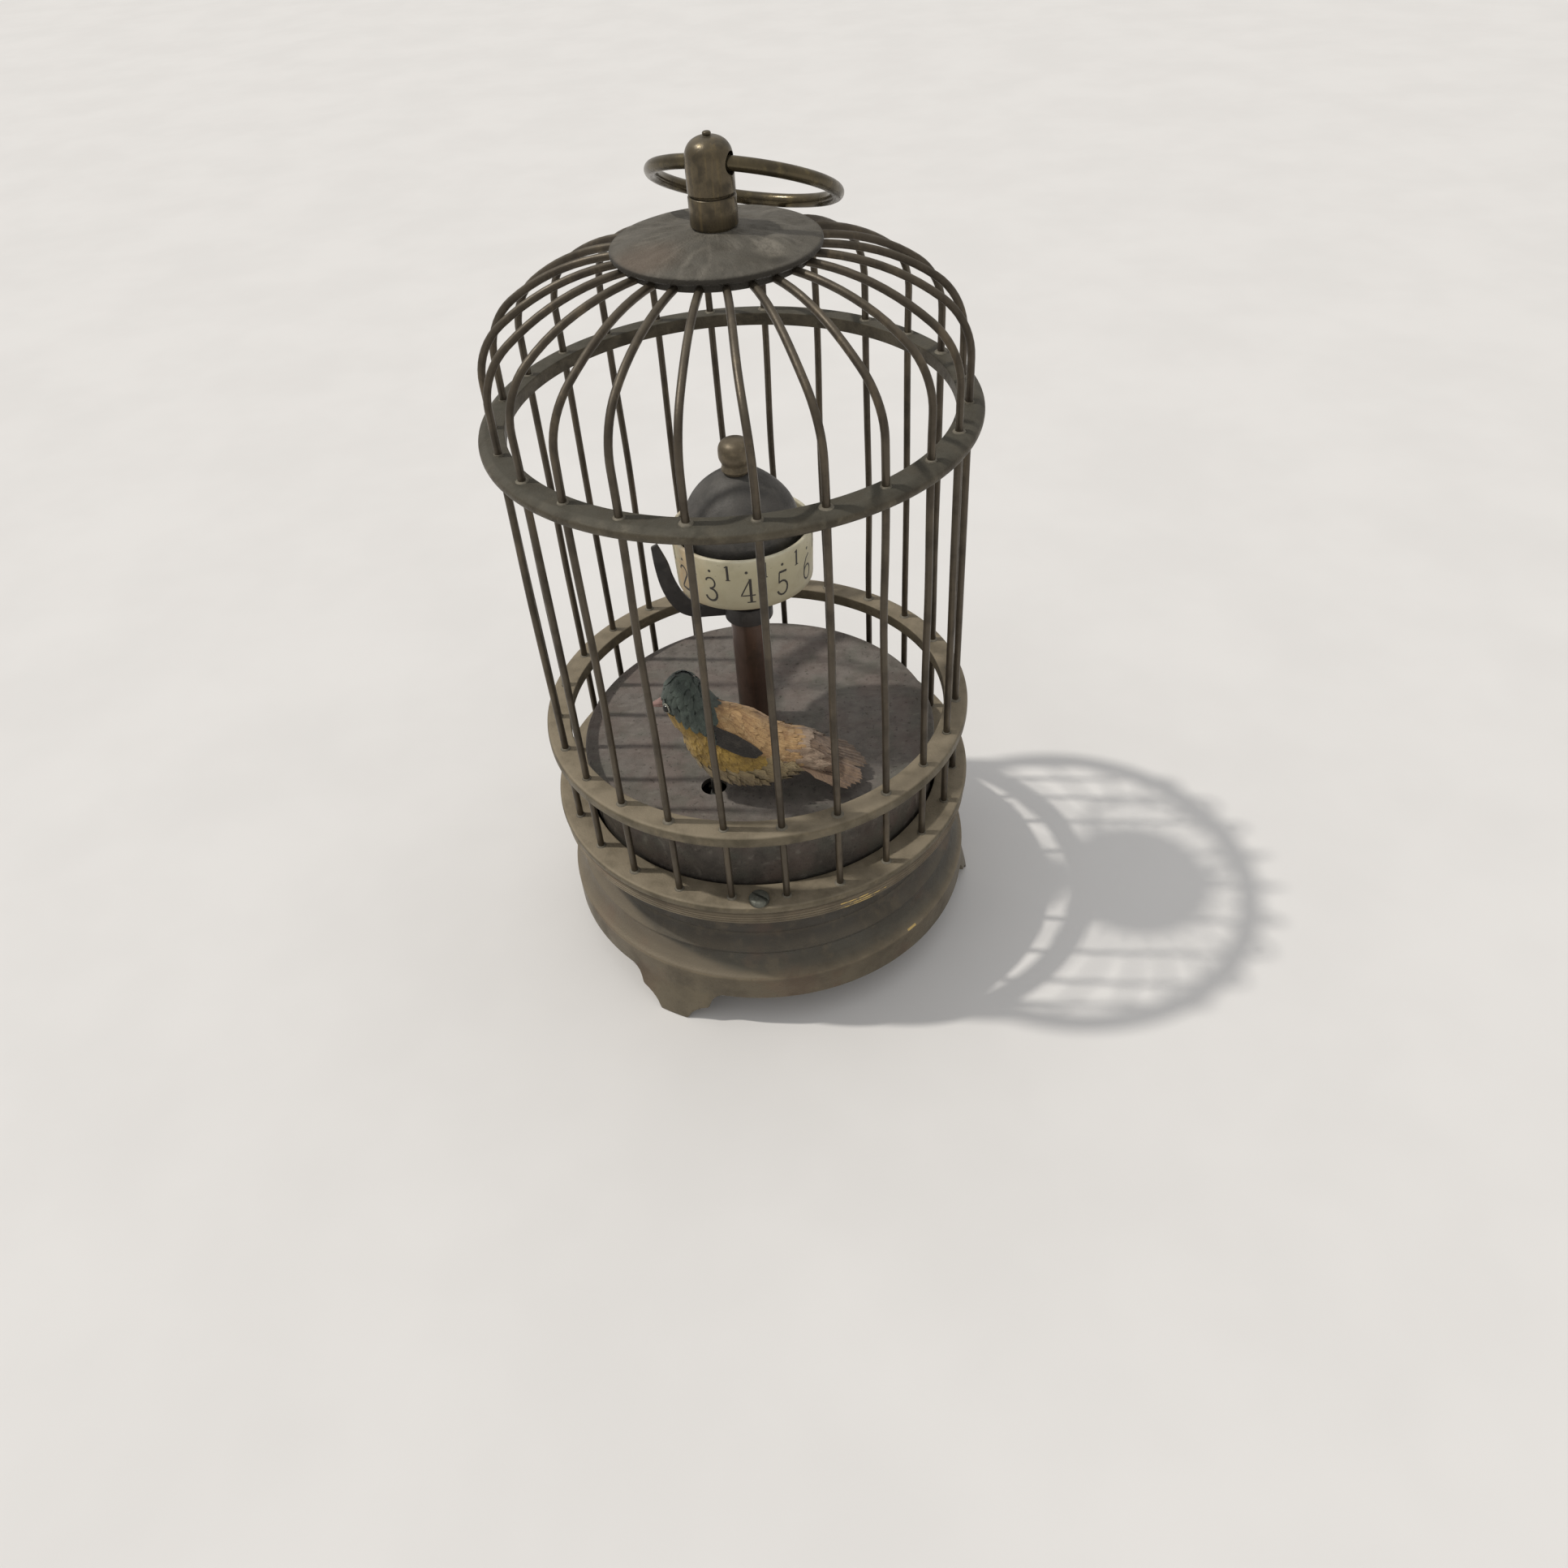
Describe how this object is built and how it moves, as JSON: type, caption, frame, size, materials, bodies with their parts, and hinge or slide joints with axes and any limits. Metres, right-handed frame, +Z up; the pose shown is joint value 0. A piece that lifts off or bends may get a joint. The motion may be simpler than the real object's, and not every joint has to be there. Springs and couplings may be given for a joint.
{
  "type": "birdcage timepiece automaton",
  "caption": "Round wire birdcage on a moulded footed base, with a drum dial that turns past a fixed pointer and a feathered bird that rocks as the hidden clockwork ticks.",
  "frame": {"origin": "centre of the plane under the three feet, on the cage's axis", "axes": "+Z up along the cage's axis, -Y towards the front, where the bird and the front screw are, +X to the right"},
  "size_m": [0.1006, 0.0988, 0.1804],
  "materials": {
    "aged_brass": "old brass gone brown, worn bright on edges",
    "bright_brass": "satin brass",
    "copper_brown": "copper-brown lacquer on tube",
    "dark_metal": "dark grey lacquer",
    "steel": "ground steel",
    "cream_enamel": "aged cream enamel with black numerals",
    "feather": "feathers in tan, yellow, orange-brown and dark green-grey",
    "horn": "pinkish horn"
  },
  "bodies": {
    "root": {"cage_wire_01": "aged_brass", "cage_wire_02": "aged_brass", "cage_wire_03": "aged_brass", "cage_wire_04": "aged_brass", "cage_wire_05": "aged_brass", "cage_wire_06": "aged_brass", "cage_wire_07": "aged_brass", "cage_wire_08": "aged_brass", "cage_wire_09": "aged_brass", "cage_wire_10": "aged_brass", "cage_wire_11": "aged_brass", "cage_wire_12": "aged_brass", "cage_wire_13": "aged_brass", "cage_wire_14": "aged_brass", "cage_wire_15": "aged_brass", "cage_wire_16": "aged_brass", "cage_wire_17": "aged_brass", "cage_wire_18": "aged_brass", "cage_wire_19": "aged_brass", "cage_wire_20": "aged_brass", "cage_wire_21": "aged_brass", "cage_wire_22": "aged_brass", "cage_wire_23": "aged_brass", "cage_wire_24": "aged_brass", "upper_ring": "aged_brass", "middle_ring": "aged_brass", "lower_ring": "aged_brass", "roof_cap": "aged_brass", "hub": "aged_brass", "hub_cap": "aged_brass", "flange_screw_1": "steel", "flange_screw_2": "steel", "flange_screw_3": "steel", "base_casting": "aged_brass", "movement_drum": "aged_brass", "bottom_cover": "aged_brass", "dial_post": "copper_brown", "pointer": "dark_metal", "lower_plate": "bright_brass", "upper_plate": "bright_brass", "mainspring": "steel", "hairspring": "steel"},
    "great": {"great_wheel": "bright_brass"},
    "winding": {"winding_arbor": "steel", "winding_key": "bright_brass"},
    "click_pawl": {"click": "steel"},
    "dial": {"dial_arbor": "steel", "dial_band": "cream_enamel", "dial_dome": "dark_metal", "dial_knob": "bright_brass"},
    "centre": {"centre_wheel": "bright_brass"},
    "third": {"third_wheel": "bright_brass"},
    "escape": {"escape_wheel": "bright_brass"},
    "lever": {"pallet": "steel"},
    "balance": {"balance_wheel": "bright_brass"},
    "bird": {"bird_body": "feather", "bird_beak": "horn", "bird_tail": "feather", "bird_wire": "steel"},
    "handle": {"carry_ring": "aged_brass"}
  },
  "joints": [
    {"name": "centre_spin", "type": "hinge", "parent": "root", "child": "centre", "pos_m": [-0.01546, 0.01658, 0.035], "axis": [0, 0, 1], "continuous": true},
    {"name": "great_spin", "type": "hinge", "parent": "root", "child": "great", "pos_m": [0, 0, 0.035], "axis": [0, 0, 1], "continuous": true},
    {"name": "dial_spin", "type": "hinge", "parent": "root", "child": "dial", "pos_m": [0, 0, 0.035], "axis": [0, 0, 1], "continuous": true},
    {"name": "third_spin", "type": "hinge", "parent": "root", "child": "third", "pos_m": [-0.02182, 0.00281, 0.035], "axis": [0, 0, 1], "continuous": true},
    {"name": "escape_spin", "type": "hinge", "parent": "root", "child": "escape", "pos_m": [-0.02064, -0.00762, 0.035], "axis": [0, 0, 1], "continuous": true},
    {"name": "winding_turn", "type": "hinge", "parent": "great", "child": "winding", "pos_m": [0, 0, 0.035], "axis": [0, 0, 1], "continuous": true},
    {"name": "click_lift", "type": "hinge", "parent": "great", "child": "click_pawl", "pos_m": [0.01, 0, 0.028], "axis": [0, 0, -1], "range_deg": [0, 10], "stiffness_Nm_per_rad": 0.0001},
    {"name": "balance_swing", "type": "hinge", "parent": "root", "child": "balance", "pos_m": [-0.00903, -0.00935, 0.043], "axis": [0, 0, 1], "range_deg": [-120, 120], "stiffness_Nm_per_rad": 0.00005},
    {"name": "lever_rock", "type": "hinge", "parent": "root", "child": "lever", "pos_m": [-0.01528, -0.01583, 0.0395], "axis": [0, 0, 1], "range_deg": [-6, 6]},
    {"name": "bird_rock", "type": "hinge", "parent": "root", "child": "bird", "pos_m": [-0.0098, -0.022, 0.0484], "axis": [0, 1, 0], "range_deg": [-4, 4]},
    {"name": "handle_swing", "type": "hinge", "parent": "root", "child": "handle", "pos_m": [0, 0, 0.17545], "axis": [0.9397, -0.342, 0], "range_deg": [0, 234]}
  ],
  "couplings": [
    {"joint": "great_spin", "follows": "centre_spin", "ratio": -0.13333},
    {"joint": "dial_spin", "follows": "centre_spin", "ratio": -0.13333},
    {"joint": "third_spin", "follows": "centre_spin", "ratio": -6},
    {"joint": "escape_spin", "follows": "centre_spin", "ratio": 36},
    {"joint": "lever_rock", "follows": "balance_swing", "ratio": 0.05},
    {"joint": "bird_rock", "follows": "balance_swing", "ratio": -0.033333}
  ]
}
